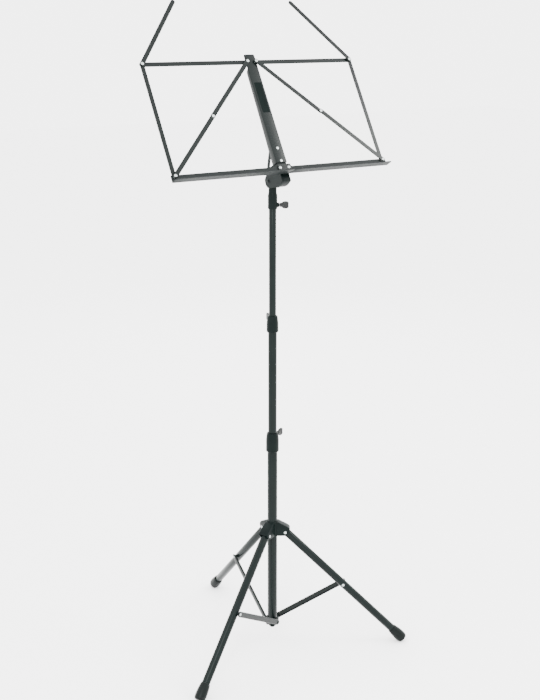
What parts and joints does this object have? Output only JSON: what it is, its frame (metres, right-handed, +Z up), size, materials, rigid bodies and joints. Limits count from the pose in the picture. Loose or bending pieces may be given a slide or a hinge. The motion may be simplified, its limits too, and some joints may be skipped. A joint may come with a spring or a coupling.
{
  "type": "music stand",
  "caption": "Free-standing folding music stand: hinged flat-bar desk with ledge and swinging page arms, tilting on a telescopic mast above a collapsible tripod.",
  "frame": {"origin": "on the floor, under the middle of the stand's outline; the mast axis is at x = 8.4 mm, y = -62.6 mm", "axes": "+Z up, +X to the reader's right, -Y towards the reader"},
  "size_m": [0.5158, 0.4647, 1.3588],
  "materials": {
    "tube_paint": "satin powder coat",
    "casting_paint": "satin powder coat",
    "bar_paint": "satin powder coat",
    "ledge_paint": "satin powder coat",
    "zinc_steel": "bright zinc plate",
    "grey_plastic": "moulded, satin",
    "bush_plastic": "moulded, matte",
    "rubber_foot": "moulded, matte",
    "plain_label": "plain dark film, no text"
  },
  "bodies": {
    "mast": {"lower_tube": "tube_paint", "base_star": "casting_paint", "lower_clamp": "casting_paint", "lower_clamp_bush": "bush_plastic"},
    "collar": {"tripod_collar": "casting_paint", "collar_lugs": "casting_paint", "hub_rivets": "zinc_steel"},
    "leg_right": {"leg_right": "tube_paint", "foot_right": "rubber_foot", "strut_rivet_right": "zinc_steel"},
    "strut_right": {"strut_right": "bar_paint", "star_rivet_right": "casting_paint"},
    "leg_back": {"leg_back": "tube_paint", "foot_back": "rubber_foot", "strut_rivet_back": "zinc_steel"},
    "strut_back": {"strut_back": "bar_paint", "star_rivet_back": "casting_paint"},
    "leg_left": {"leg_left": "tube_paint", "foot_left": "rubber_foot", "strut_rivet_left": "zinc_steel"},
    "strut_left": {"strut_left": "bar_paint", "star_rivet_left": "casting_paint"},
    "lower_screw": {"lower_wings": "grey_plastic", "lower_stud": "zinc_steel"},
    "middle": {"middle_tube": "tube_paint", "upper_clamp": "casting_paint", "upper_clamp_bush": "bush_plastic"},
    "upper_screw": {"upper_wings": "grey_plastic", "upper_stud": "zinc_steel"},
    "upper": {"upper_tube": "tube_paint"},
    "socket": {"desk_socket": "casting_paint", "tilt_bolt": "casting_paint", "tilt_nut": "zinc_steel"},
    "socket_screw": {"socket_wings": "grey_plastic", "socket_stud": "zinc_steel"},
    "desk": {"tilt_bracket": "casting_paint", "centre_plate": "bar_paint", "label_plate": "plain_label", "bracket_rivets": "zinc_steel", "hinge_block": "bar_paint", "bottom_rivets": "zinc_steel", "top_rivets": "zinc_steel"},
    "ledge_left": {"ledge_left": "ledge_paint", "ledge_rivet_left": "zinc_steel"},
    "top_bar_left": {"top_bar_left": "bar_paint", "corner_rivet_left": "zinc_steel"},
    "side_bar_left": {"side_bar_left": "bar_paint"},
    "upper_brace_left": {"upper_brace_left": "bar_paint"},
    "lower_brace_left": {"lower_brace_left": "bar_paint", "brace_rivet_left": "zinc_steel"},
    "page_arm_left": {"page_arm_left": "bar_paint"},
    "ledge_right": {"ledge_right": "ledge_paint", "ledge_rivet_right": "zinc_steel"},
    "top_bar_right": {"top_bar_right": "bar_paint", "corner_rivet_right": "zinc_steel"},
    "side_bar_right": {"side_bar_right": "bar_paint"},
    "upper_brace_right": {"upper_brace_right": "bar_paint"},
    "lower_brace_right": {"lower_brace_right": "bar_paint", "brace_rivet_right": "zinc_steel"},
    "page_arm_right": {"page_arm_right": "bar_paint"}
  },
  "joints": [
    {"name": "collar_slide", "type": "slide", "parent": "mast", "child": "collar", "axis": [0, 0, 1], "range_m": [0, 0.13867]},
    {"name": "leg_right_fold", "type": "hinge", "parent": "collar", "child": "leg_right", "pos_m": [0.03139, -0.07805, 0.262], "axis": [0.5577, 0.83, 0], "range_deg": [0, 45.51]},
    {"name": "strut_right_fold", "type": "hinge", "parent": "leg_right", "child": "strut_right", "pos_m": [0.1364, -0.14861, 0.1375], "axis": [-0.5577, -0.83, 0], "range_deg": [0, 95.94]},
    {"name": "leg_back_fold", "type": "hinge", "parent": "collar", "child": "leg_back", "pos_m": [0.01028, -0.03496, 0.262], "axis": [-0.9977, 0.068, 0], "range_deg": [0, 45.51]},
    {"name": "strut_back_fold", "type": "hinge", "parent": "leg_back", "child": "strut_back", "pos_m": [0.01889, 0.09126, 0.1375], "axis": [0.9977, -0.068, 0], "range_deg": [0, 95.94]},
    {"name": "leg_left_fold", "type": "hinge", "parent": "collar", "child": "leg_left", "pos_m": [-0.01648, -0.07479, 0.262], "axis": [0.4399, -0.898, 0], "range_deg": [0, 45.51]},
    {"name": "strut_left_fold", "type": "hinge", "parent": "leg_left", "child": "strut_left", "pos_m": [-0.13009, -0.13045, 0.1375], "axis": [-0.4399, 0.898, 0], "range_deg": [0, 95.94]},
    {"name": "lower_screw_turn", "type": "hinge", "parent": "mast", "child": "lower_screw", "pos_m": [0.0084, -0.0626, 0.4805], "axis": [0.9397, 0.342, 0], "range_deg": [0, 360]},
    {"name": "middle_slide", "type": "slide", "parent": "mast", "child": "middle", "axis": [0, 0, -1], "range_m": [-0.145, 0.205]},
    {"name": "upper_screw_turn", "type": "hinge", "parent": "middle", "child": "upper_screw", "pos_m": [0.0084, -0.0626, 0.7315], "axis": [0.2079, 0.9781, 0], "range_deg": [0, 360]},
    {"name": "upper_slide", "type": "slide", "parent": "middle", "child": "upper", "axis": [0, 0, -1], "range_m": [-0.12, 0.205]},
    {"name": "desk_swivel", "type": "hinge", "parent": "upper", "child": "socket", "pos_m": [0.0084, -0.0626, 0.97], "axis": [0, 0, 1], "continuous": true},
    {"name": "socket_screw_turn", "type": "hinge", "parent": "socket", "child": "socket_screw", "pos_m": [0.0084, -0.0626, 0.967], "axis": [0.8387, -0.5446, 0], "range_deg": [0, 360]},
    {"name": "desk_tilt", "type": "hinge", "parent": "socket", "child": "desk", "pos_m": [0.0084, -0.0626, 1.015], "axis": [-1, 0, 0], "range_deg": [-30, 50]},
    {"name": "ledge_left_fold", "type": "hinge", "parent": "desk", "child": "ledge_left", "pos_m": [-0.0016, -0.1009, 1.0427], "axis": [0, 0.86, -0.5102], "range_deg": [0, 86]},
    {"name": "top_bar_left_fold", "type": "hinge", "parent": "desk", "child": "top_bar_left", "pos_m": [-0.0016, 0.01646, 1.24051], "axis": [0, 0.86, -0.5102], "range_deg": [0, 86.05]},
    {"name": "side_bar_left_fold", "type": "hinge", "parent": "top_bar_left", "child": "side_bar_left", "pos_m": [-0.2326, 0.01646, 1.24051], "axis": [0, -0.86, 0.5102], "range_deg": [0, 86.05]},
    {"name": "upper_brace_left_fold", "type": "hinge", "parent": "desk", "child": "upper_brace_left", "pos_m": [-0.0016, 0.01646, 1.24051], "axis": [0, -0.86, 0.5102], "range_deg": [0, 44.25]},
    {"name": "lower_brace_left_fold", "type": "hinge", "parent": "ledge_left", "child": "lower_brace_left", "pos_m": [-0.2326, -0.1009, 1.0427], "axis": [0, 0.86, -0.5102], "range_deg": [0, 44.25]},
    {"name": "page_arm_left_swing", "type": "hinge", "parent": "side_bar_left", "child": "page_arm_left", "pos_m": [-0.2326, 0.01646, 1.24051], "axis": [0, 0.86, -0.5102], "range_deg": [-38.4, 141.6]},
    {"name": "ledge_right_fold", "type": "hinge", "parent": "desk", "child": "ledge_right", "pos_m": [0.0184, -0.1009, 1.0427], "axis": [0, -0.86, 0.5102], "range_deg": [0, 86]},
    {"name": "top_bar_right_fold", "type": "hinge", "parent": "desk", "child": "top_bar_right", "pos_m": [0.0184, 0.01646, 1.24051], "axis": [0, -0.86, 0.5102], "range_deg": [0, 86.05]},
    {"name": "side_bar_right_fold", "type": "hinge", "parent": "top_bar_right", "child": "side_bar_right", "pos_m": [0.2494, 0.01646, 1.24051], "axis": [0, 0.86, -0.5102], "range_deg": [0, 86.05]},
    {"name": "upper_brace_right_fold", "type": "hinge", "parent": "desk", "child": "upper_brace_right", "pos_m": [0.0184, 0.01646, 1.24051], "axis": [0, 0.86, -0.5102], "range_deg": [0, 44.25]},
    {"name": "lower_brace_right_fold", "type": "hinge", "parent": "ledge_right", "child": "lower_brace_right", "pos_m": [0.2494, -0.1009, 1.0427], "axis": [0, -0.86, 0.5102], "range_deg": [0, 44.25]},
    {"name": "page_arm_right_swing", "type": "hinge", "parent": "side_bar_right", "child": "page_arm_right", "pos_m": [0.2494, 0.01646, 1.24051], "axis": [0, -0.86, 0.5102], "range_deg": [-38.4, 141.6]}
  ],
  "couplings": [
    {"joint": "leg_right_fold", "follows": "collar_slide", "rad_per_m": 5.7219},
    {"joint": "strut_right_fold", "follows": "collar_slide", "rad_per_m": 12.07},
    {"joint": "leg_back_fold", "follows": "collar_slide", "rad_per_m": 5.7219},
    {"joint": "strut_back_fold", "follows": "collar_slide", "rad_per_m": 12.07},
    {"joint": "leg_left_fold", "follows": "collar_slide", "rad_per_m": 5.7219},
    {"joint": "strut_left_fold", "follows": "collar_slide", "rad_per_m": 12.07},
    {"joint": "top_bar_left_fold", "follows": "ledge_left_fold", "ratio": 1},
    {"joint": "side_bar_left_fold", "follows": "ledge_left_fold", "ratio": 1},
    {"joint": "upper_brace_left_fold", "follows": "ledge_left_fold", "ratio": 0.5136},
    {"joint": "lower_brace_left_fold", "follows": "ledge_left_fold", "ratio": 0.5136},
    {"joint": "top_bar_right_fold", "follows": "ledge_right_fold", "ratio": 1},
    {"joint": "side_bar_right_fold", "follows": "ledge_right_fold", "ratio": 1},
    {"joint": "upper_brace_right_fold", "follows": "ledge_right_fold", "ratio": 0.5136},
    {"joint": "lower_brace_right_fold", "follows": "ledge_right_fold", "ratio": 0.5136}
  ]
}
